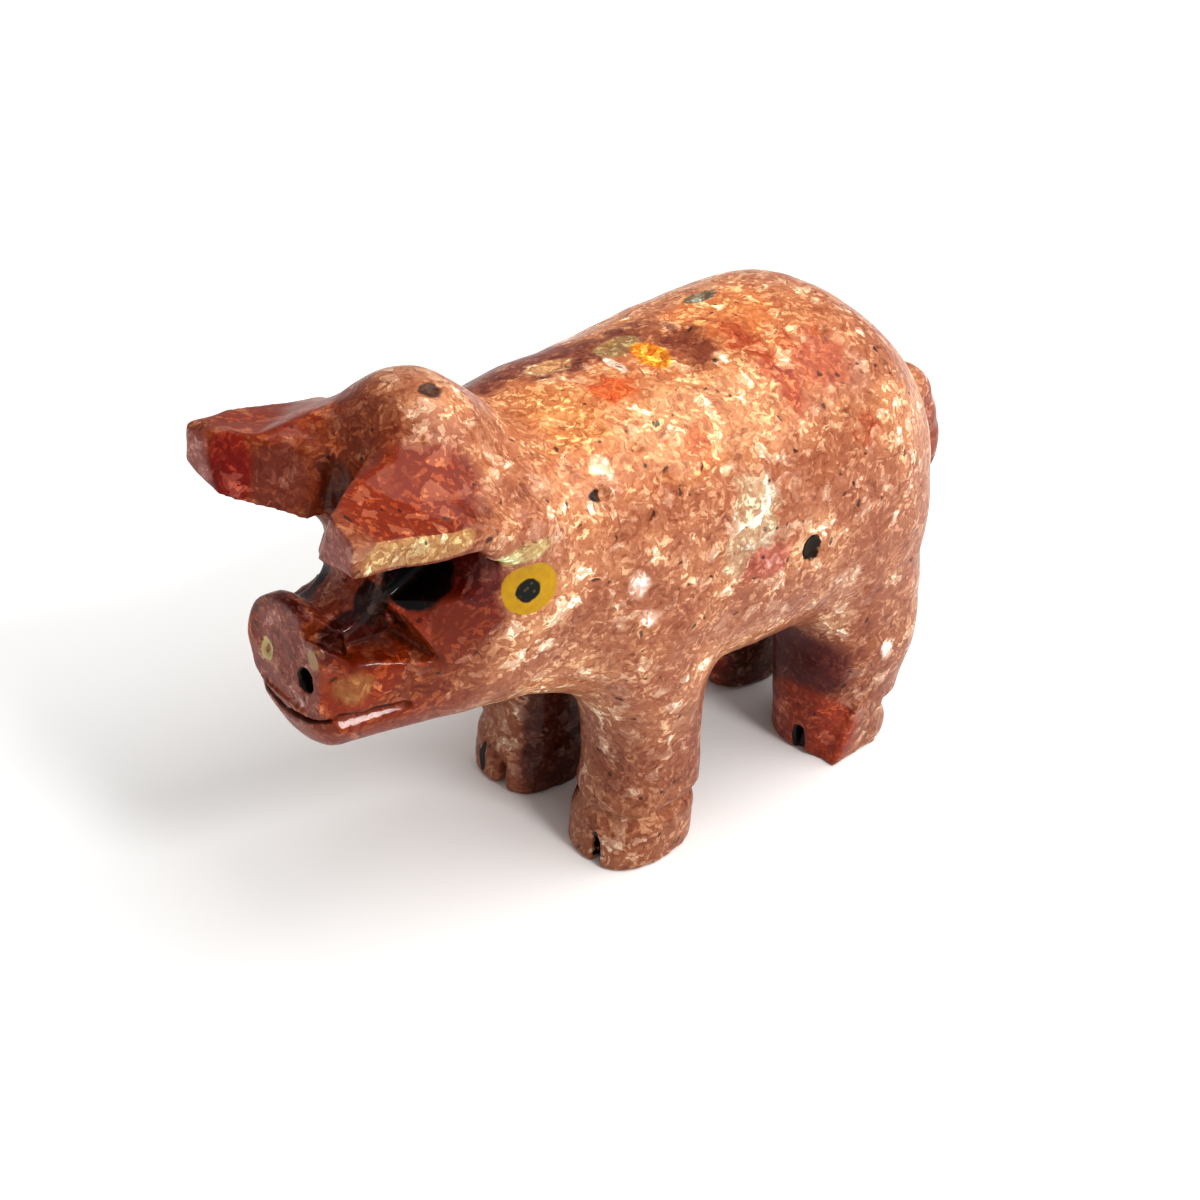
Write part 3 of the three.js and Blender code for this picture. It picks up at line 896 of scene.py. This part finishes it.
@dataclass(frozen=True)
class Mouth:
    """The mouth: a thin slit that follows the lips, over a chamfered lower lip."""

    gap: float = 0.22
    depth: float = 0.45
    reach: float = 1.2
    overlap: float = 0.1
    margin: float = 2.0
    path: tuple[Point, ...] = (
        (-0.05, -19.6, 13.95),
        (0.6, -19.62, 14.02),
        (1.8, -19.46, 14.34),
        (2.6, -19.2, 14.62),
        (3.2, -18.8, 14.82),
        (3.5, -17.45, 14.78),
        (3.9, -15.35, 14.55),
    )

    def old_groove(self) -> list[Chisel]:
        """Returns the stone that fills the solid's own wider groove before the slit."""
        inside = (0, -17, 14.4)
        upper = Plane((0, -19.36, 14.6), (0, -0.139, 0.99))
        lower = Plane((0, -19.36, 13.85), (0, 0.139, -0.99))
        side = Plane.through(
            (3.1, -18.81, 14), (3.8, -15.35, 14), (3.1, -18.81, 15), inside
        )
        corner = Plane.through(
            (1.8, -19.42, 14), (3.1, -18.81, 14), (3.1, -18.81, 15), inside
        )
        return [
            Chisel(
                "mouth_fill",
                (0, -19.5, 13),
                (4.4, -15, 16),
                (upper, lower, side, corner),
                half,
            )
            for half in (Side.LEFT, Side.RIGHT)
        ]

    def slit(self) -> list[Chisel]:
        """Returns the thin cuts that follow the path from the middle to the corners."""
        cuts = []
        for start, end in zip(self.path, self.path[1:]):
            along = Vector(end) - Vector(start)
            flat = Vector((along.x, along.y, 0.0)).normalized()
            inward = Vector((-flat.y, flat.x, 0.0))
            up = along.cross(inward).normalized()
            up = up if up.z > 0 else -up
            middle = (Vector(start) + Vector(end)) / 2
            sides = (
                (middle + inward * self.depth, inward),
                (middle - inward * self.reach, -inward),
                (middle + up * self.gap / 2, up),
                (middle - up * self.gap / 2, -up),
                (Vector(end) + flat * self.overlap, flat),
                (Vector(start) - flat * self.overlap, -flat),
            )
            trims = tuple(Plane(tuple(place), tuple(way)) for place, way in sides)
            low = tuple(min(pair) - self.margin for pair in zip(start, end))
            high = tuple(max(pair) + self.margin for pair in zip(start, end))
            cuts += [
                Chisel("mouth_slit", low, high, trims, half)
                for half in (Side.LEFT, Side.RIGHT)
            ]
        return cuts

    def lip(self) -> list[Chisel]:
        """Returns the chamfers along the lower lip on both sides."""
        slope = Plane.through(
            (2.6, -18.2, 14.8), (3.3, -18.2, 14.1), (3.5, -15.6, 14.35), (2, -17, 13)
        )
        top = Plane.through(
            (3.2, -18.8, 14.8), (3.9, -15.35, 14.55), (4.5, -17, 14.7), (3.2, -17, 13)
        )
        low, high = (2.6, -19.2, 13.6), (4.8, -15.5, 15.4)
        return [Chisel("lip", low, high, (slope.turned(), top), Side.BOTH)]


@dataclass
class CarvedPig:
    """The whole carving: one stone."""

    node: str = "stone_pig"
    body: str = "root"
    slot: str = "soapstone"
    rough_voxel: float = 0.18
    fine_voxel: float = 0.1
    crisp_angle: float = 32.0
    rough_strokes: int = 3
    fine_strokes: int = 6
    most_faces: int = 190_000
    wave_size: float = 2.6
    wave_height: float = 0.22
    finish: SoapstoneFinish = field(default_factory=SoapstoneFinish)
    mouth: Mouth = Mouth()
    ground: Chisel = Chisel("ground", (-12, -24, -2), (12, 24, 0), side=Side.LEFT)
    plug: Burr = Burr(
        "nostril_fill", (-1.5, -18.75, 16.3), (0.75, 0.4, 0.8), side=Side.LEFT
    )
    pits: tuple[tuple[Point, Point], ...] = (
        ((3.19, 8.84, 24.06), (0.25, 0.45, 0.3)),
        ((6.67, 7.29, 21.63), (0.3, 0.35, 0.3)),
        ((3.25, -4.51, 23.91), (0.28, 0.35, 0.3)),
        ((4.62, -3.42, 23.26), (0.3, 0.28, 0.3)),
        ((5.49, -5.96, 22.27), (0.35, 0.3, 0.28)),
        ((7.58, 8.59, 11.63), (0.25, 0.25, 0.3)),
        ((8.05, 4.27, 16.19), (0.35, 0.5, 0.75)),
        ((1.21, -11.82, 27.9), (0.35, 0.35, 0.25)),
        ((6.11, 11.53, 21.31), (0.3, 0.3, 0.45)),
        ((-2.18, 6.15, 24.31), (0.35, 0.6, 0.25)),
        ((-3.4, -5.66, 1.7), (0.35, 0.35, 0.3)),
        ((-1.9, -5.66, 2), (0.25, 0.3, 0.3)),
        ((-2.6, -5.66, 2.9), (0.2, 0.3, 0.2)),
        ((-1.9, -3.1, 24.5), (0.6, 1.1, 0.4)),
        ((-1.5, -0.1, 24.5), (0.6, 0.9, 0.4)),
        ((0.5, 0.95, 24.6), (1, 0.6, 0.42)),
    )
    tail: tuple[Burr, ...] = (
        Burr("tail", (0.8, 17.35, 16), (1.3, 1.5, 2), (30, 0, 0), Side.LEFT),
        Burr("tail", (0.85, 17.95, 14.6), (1.35, 1.4, 2.2), (12, 0, 0), Side.LEFT),
        Burr("tail", (0.85, 18.15, 12.9), (1.35, 1.45, 2.5), (-4, 0, 0), Side.LEFT),
    )
    rubs: tuple[Rub, ...] = (
        Rub((3.6, -13.9, 25.8), 3.4, 120),
        Rub((-3.4, -14.6, 25.8), 3.4, 120),
        Rub((6.3, -13, 23.8), 2.0, 80),
        Rub((-6.4, -13.2, 24.2), 2.0, 80),
        Rub((-6.3, -19.8, 26.1), 2.4, 260),
        Rub((0.4, -16, 24.6), 1.8, 40),
        Rub((6.6, -12.3, 22.2), 0.9, 20),
        Rub((6.7, 10.6, 4.2), 1.7, 40),
        Rub((6.4, 8.6, 1.2), 1.6, 24),
    )
    ears: tuple[Ear, ...] = (
        Ear(
            side=Side.LEFT,
            tip_top_inner=(4.5, -19.4, 26.45),
            tip_top_outer=(6.3, -19.36, 26.05),
            tip_low_inner=(3.45, -19.51, 23.8),
            tip_low_outer=(6.2, -19.6, 24.4),
            root_top_inner=(1.35, -15.4, 26.1),
            root_top_outer=(6.5, -13.44, 24.26),
            root_low_outer=(6.4, -12.37, 22.77),
        ),
        Ear(
            side=Side.RIGHT,
            tip_top_inner=(4.75, -19.7, 26.15),
            tip_top_outer=(6.35, -19.7, 26.1),
            tip_low_inner=(3.4, -19.85, 23.55),
            tip_low_outer=(6.2, -19.9, 23.95),
            root_top_inner=(1.6, -16.7, 25.75),
            root_top_outer=(6.4, -13.59, 24.54),
            root_low_outer=(6.4, -12.37, 22.6),
        ),
    )

    def rough_out(self) -> bpy.types.Object:
        """Copies the solid and rounds the flat facets of its skin.

        Returns:
            The stone, one closed mesh.
        """
        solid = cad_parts[self.node]
        stone = bpy.data.objects.new("carved_pig", solid.data.copy())
        bpy.context.scene.collection.objects.link(stone)
        take_up(stone)
        bpy.ops.object.mode_set(mode="EDIT")
        bpy.ops.mesh.select_all(action="SELECT")
        bpy.ops.mesh.remove_doubles(threshold=1e-6)
        bpy.ops.mesh.tris_convert_to_quads()
        bpy.ops.mesh.select_all(action="DESELECT")
        bpy.ops.mesh.select_mode(type="EDGE")
        bpy.ops.mesh.edges_select_sharp(sharpness=math.radians(self.crisp_angle))
        bpy.ops.transform.edge_crease(value=1.0)
        deselect_all()
        finish_with(stone, "SUBSURF", levels=2, render_levels=2)
        finish_with(stone, "REMESH", mode="VOXEL", voxel_size=self.rough_voxel * MM)
        finish_with(stone, "SMOOTH", factor=0.5, iterations=self.rough_strokes)
        return stone

    def chisels(self) -> list[Chisel | Burr]:
        """Returns every cut, in the order in which they are made."""
        nose_front = Plane((0, -19.3, 16.5), (0, 1, -0.08))
        nose_side = Plane.through(
            (2.6, -19.3, 15), (2.6, -19.3, 18), (3.3, -18.1, 16.5), (9, -20, 16.5)
        )
        bridge_wall = Plane.through(
            (1.1, -19, 18), (1.9, -17, 18), (1.9, -17, 19), (4, -18, 18)
        )
        groove_floor = Plane.through(
            (2.3, -19, 18.5), (3.3, -17.6, 17.45), (1.7, -17.6, 17.1), (2, -18, 20)
        )
        step_floor = Plane.through(
            (2, -17.86, 17.45), (6, -17.86, 16.9), (2, -14.7, 17), (3, -16, 20)
        )
        step_back = Plane.through(
            (2, -14.75, 17.1), (4, -14.45, 17.1), (2, -16, 20.4), (3, -18, 18)
        )
        hollow_floor = Plane.through(
            (2.2, -15.3, 19.1), (3.9, -14.6, 18.8), (5.6, -12.3, 21), (4, -15, 22)
        )
        hollow_back = Plane.through(
            (2, -12.6, 20), (7, -12.2, 20), (7, -12.5, 22), (4, -16, 21)
        )
        left = Side.LEFT
        groove = (bridge_wall, groove_floor)
        step = (step_floor, step_back)
        hollow = (hollow_floor, hollow_back)
        return [
            Chisel("nose", (-5, -22, 14.6), (5, -18, 21), (nose_front,), left),
            Chisel("nose", (1.8, -21, 14.9), (4.5, -17.4, 18.9), (nose_side,), left),
            Chisel("groove", (0.9, -20, 16.9), (5, -17.5, 20.6), groove, left),
            Chisel("step", (1.9, -17.86, 16), (7, -14, 21), step),
            Chisel("hollow", (2, -16.9, 18), (8, -11.5, 22.4), hollow),
            Burr("nostril", (1.5, -19.2, 16.25), (0.55, 0.8, 0.6), side=left),
            Chisel("tail_slot", (2, 17.4, 10.6), (2.35, 19.6, 12.4), side=left),
            *self.mouth.lip(),
        ]

    def fine_cuts(self) -> list[list[Chisel | Burr]]:
        """Returns groups of small cuts, each group of cuts that don't touch."""
        slit = self.mouth.slit()
        pits = [Burr("pit", *pit, side=Side.LEFT) for pit in self.pits]
        return [pits, *(slit[start::4] for start in range(4))]

    def hoof_edge(self) -> Chisel:
        """Returns the squarer outer edge of the near hind foot."""
        foot, top = (6.5, 8.25, 0), (7, 9.7, 5)
        faces = (
            (foot, (1.9, 8, 0), top),
            (foot, (6.35, 11, 0), top),
            ((7, 9.7, 3.6), (7, 11.5, 4), (5.4, 9.4, 5.6)),
        )
        trims = tuple(Plane.through(*face, inside=(5, 10, 2)) for face in faces)
        return Chisel("hoof_edge", (3.6, 7.6, 0), (7.4, 11.4, 5.4), trims, Side.LEFT)

    def polish(self, stone: bpy.types.Object) -> None:
        """Rounds the cut edges a little and thins the mesh."""
        finish_with(stone, "REMESH", mode="VOXEL", voxel_size=self.fine_voxel * MM)
        for rub in self.rubs:
            rub.smooth(stone)
        finish_with(stone, "SMOOTH", factor=0.5, iterations=self.fine_strokes)
        waves = bpy.data.textures.new("hand_waves", "CLOUDS")
        waves.noise_scale = self.wave_size * MM
        waves.noise_depth = 1
        finish_with(
            stone,
            "DISPLACE",
            texture=waves,
            texture_coords="LOCAL",
            strength=self.wave_height * MM,
            mid_level=0.5,
        )
        bpy.data.textures.remove(waves)
        carve(stone, self.ground.forge())
        count = sum(len(face.vertices) - 2 for face in stone.data.polygons)
        if count > self.most_faces:
            finish_with(stone, "DECIMATE", ratio=self.most_faces / count)
        take_up(stone)
        bpy.ops.object.shade_smooth()

    def build(self) -> bpy.types.Object:
        """Carves, polishes and dresses the stone.

        Returns:
            The finished piece, riding on its body in place of the plain solid.
        """
        stone = self.rough_out()
        for ear in self.ears:
            for cut in ear.shavers():
                carve(stone, cut.forge())
            leave(stone, ear.blank())
        for form in (*self.mouth.old_groove(), *self.tail, self.plug, self.hoof_edge()):
            leave(stone, form.forge())
        for cut in self.chisels():
            carve(stone, cut.forge())
        for group in self.fine_cuts():
            carve(stone, gather([cut.forge() for cut in group]))
        log.info("carved")
        self.polish(stone)
        stone.data.materials.clear()
        stone.data.materials.append(self.finish.material())
        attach(stone, self.body)
        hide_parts(self.node)
        return stone


# The floor, the light and the camera.


@dataclass(frozen=True)
class SoftBox:
    """A soft lamp: where it stands, what it faces, how wide it is and how bright."""

    name: str
    place: Point
    towards: Point
    width: float
    height: float
    power: float

    def hang(self) -> None:
        """Hangs the lamp."""
        lamp = bpy.data.lights.new(self.name, "AREA")
        lamp.shape = "ELLIPSE"
        lamp.size = self.width * MM
        lamp.size_y = self.height * MM
        lamp.energy = self.power
        holder = bpy.data.objects.new(self.name, lamp)
        holder.location = metres(self.place)
        aim = metres(self.towards) - metres(self.place)
        holder.rotation_euler = aim.to_track_quat("-Z", "Y").to_euler()
        bpy.context.scene.collection.objects.link(holder)


@dataclass
class Studio:
    """The pale floor, the lamps and the camera."""

    camera_place: Point = (77.690, -65.520, 85.364)
    azimuth: float = 50.609
    elevation: float = 36.291
    lens: float = 78.207
    sensor: float = 36.0
    floor_half: float = 900.0
    floor_gap: float = 0.02
    sky: float = 0.6
    gamma: float = 0.84
    exposure: float = 0.0
    boxes: tuple[SoftBox, ...] = (
        SoftBox("key", (90, 120, 270), (0, 0, 12), 340.0, 340.0, 0.8),
        SoftBox("glint", (204, 18, 205), (2, -16, 15), 62.0, 50.0, 0.34),
    )

    def lay_floor(self) -> None:
        """Lays the paper that the pig stands on."""
        deselect_all()
        bpy.ops.mesh.primitive_plane_add(
            size=2 * self.floor_half * MM, location=(0, 0, -self.floor_gap * MM)
        )
        floor = bpy.context.object
        floor.name = "paper_floor"
        bpy.ops.object.transform_apply(location=True, rotation=True, scale=True)
        floor.data.materials.append(PaperFinish().material())

    def light(self) -> None:
        """Fills the room with pale light and hangs the lamps."""
        world = bpy.data.worlds.new("pale_room")
        world.use_nodes = True
        shade = world.node_tree.nodes["Background"]
        shade.inputs["Color"].default_value = (1.0, 1.0, 1.0, 1.0)
        shade.inputs["Strength"].default_value = self.sky
        bpy.context.scene.world = world
        for box in self.boxes:
            box.hang()

    def set_camera(self) -> None:
        """Stands the camera where the photograph was taken from."""
        turn, rise = math.radians(self.azimuth), math.radians(self.elevation)
        right = Vector((math.cos(turn), math.sin(turn), 0))
        back = Vector(
            (
                math.sin(turn) * math.cos(rise),
                -math.cos(turn) * math.cos(rise),
                math.sin(rise),
            )
        )
        up = back.cross(right)
        lens = bpy.data.cameras.new("camera")
        lens.lens = self.lens
        lens.sensor_width = self.sensor
        lens.clip_start = MM
        holder = bpy.data.objects.new("camera", lens)
        pose = Matrix((right, up, back)).transposed().to_4x4()
        pose.translation = metres(self.camera_place)
        holder.matrix_world = pose
        bpy.context.scene.collection.objects.link(holder)
        bpy.context.scene.camera = holder

    def build(self) -> None:
        """Sets up the whole studio."""
        self.set_camera()
        self.lay_floor()
        self.light()
        view = bpy.context.scene.view_settings
        view.view_transform = "Standard"
        view.gamma = self.gamma
        view.exposure = self.exposure


def main() -> None:
    """Builds the studio and the pig, and says what each piece came to."""
    logging.basicConfig(level=logging.INFO, format="%(name)s: %(message)s")
    Studio().build()
    log.info("studio ready")
    pig = CarvedPig().build()
    log.info("%s: %d faces", pig.name, len(pig.data.polygons))


if __name__ == "__main__":
    main()
